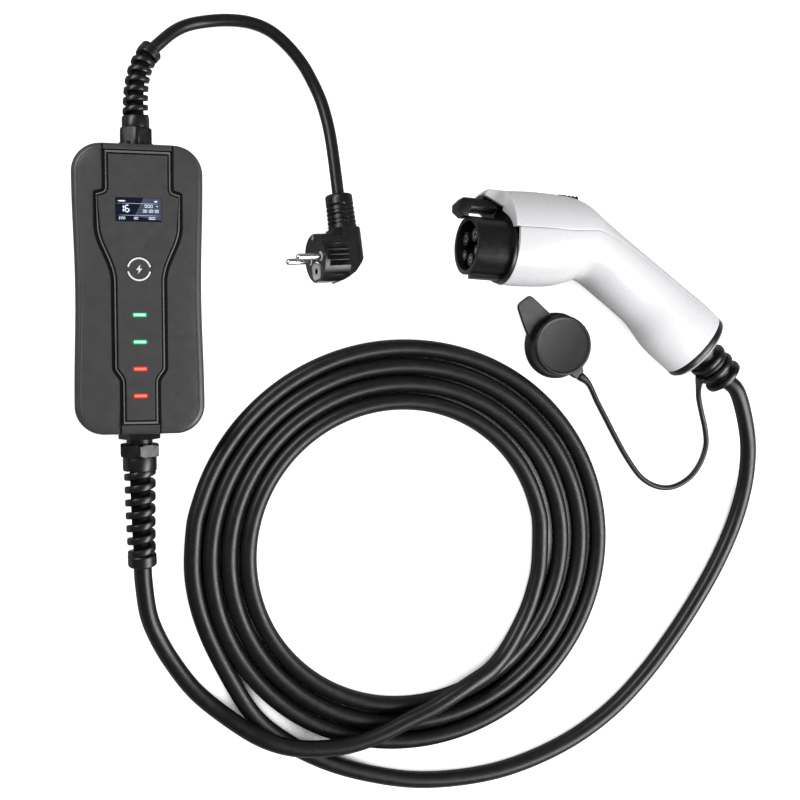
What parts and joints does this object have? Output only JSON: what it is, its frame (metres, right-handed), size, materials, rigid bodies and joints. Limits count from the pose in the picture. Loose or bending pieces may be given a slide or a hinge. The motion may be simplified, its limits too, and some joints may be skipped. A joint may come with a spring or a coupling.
{
  "type": "portable ev charger",
  "caption": "Portable charger for an electric car: control box, mains lead with round two-pin plug, and a coiled charging cable with a five-contact connector.",
  "frame": {"origin": "middle of the control box's flat back face, on the table plane z = 0", "axes": "+Z out of the box's front face, +Y along the box to its mains end, +X to the right across the box, towards the coil and the connector"},
  "size_m": [0.549, 0.5956, 0.0688],
  "materials": {
    "box_shell": "charcoal moulded plastic, fine grain",
    "seal": "soft black seal",
    "black_plastic": "satin black nylon",
    "white_plastic": "glossy white",
    "dark_plastic": "dark plastic",
    "window": "dark glossy window",
    "green_lamp": "clear green lamp",
    "red_lamp": "clear red lamp",
    "board": "circuit board",
    "steel": "bright steel",
    "brass": "plated brass",
    "cord": "black cable sheath"
  },
  "bodies": {
    "charger": {"box_base": "box_shell", "box_cover": "box_shell", "cover_seal": "seal", "front_panel": "box_shell", "display_window": "window", "display_module": "dark_plastic", "touch_key": "box_shell", "green_lamps": "green_lamp", "red_lamps": "red_lamp", "control_board": "board", "relays": "dark_plastic", "current_sensor": "dark_plastic", "terminal_block": "white_plastic", "board_screws": "steel", "cover_screws": "steel", "mains_gland": "black_plastic", "mains_lock_nut": "dark_plastic", "mains_bush": "seal", "mains_relief": "black_plastic", "cable_gland": "black_plastic", "cable_lock_nut": "dark_plastic", "cable_bush": "seal", "cable_relief": "black_plastic", "mains_lead": "cord", "plug_body": "black_plastic", "plug_pins": "steel", "pin_collars": "white_plastic", "earth_strips": "steel", "earth_socket": "brass", "cable_lead_in": "cord", "cable_coil": "cord", "cable_lead_out": "cord", "nose_shell": "black_plastic", "contact_block": "black_plastic", "power_contacts": "brass", "earth_contact": "brass", "signal_contacts": "brass", "lower_housing": "white_plastic", "upper_cover": "white_plastic", "latch_hood": "white_plastic", "pivot_pin": "steel", "latch_spring": "steel", "latch_switch": "dark_plastic", "cable_clamp": "dark_plastic", "clamp_screws": "steel", "end_collar": "black_plastic", "cable_boot": "black_plastic", "dust_cap": "seal", "tether_ring": "seal", "cap_tether": "seal"},
    "latch": {"latch_arm": "black_plastic"},
    "button": {"release_button": "black_plastic"}
  },
  "joints": [
    {"name": "latch_hinge", "type": "hinge", "parent": "charger", "child": "latch", "pos_m": [0.27986, 0.06686, 0.03476], "axis": [-0.1272, -0.1154, -0.9851], "range_deg": [0, 5], "deforming": ["latch_spring"]},
    {"name": "button_slide", "type": "slide", "parent": "charger", "child": "button", "axis": [-0.0371, -0.992, 0.121], "range_m": [0, 0.0035], "stiffness_N_per_m": 100, "springref_m": -0.004}
  ],
  "couplings": [
    {"joint": "latch_hinge", "follows": "button_slide", "rad_per_m": 22.8}
  ]
}
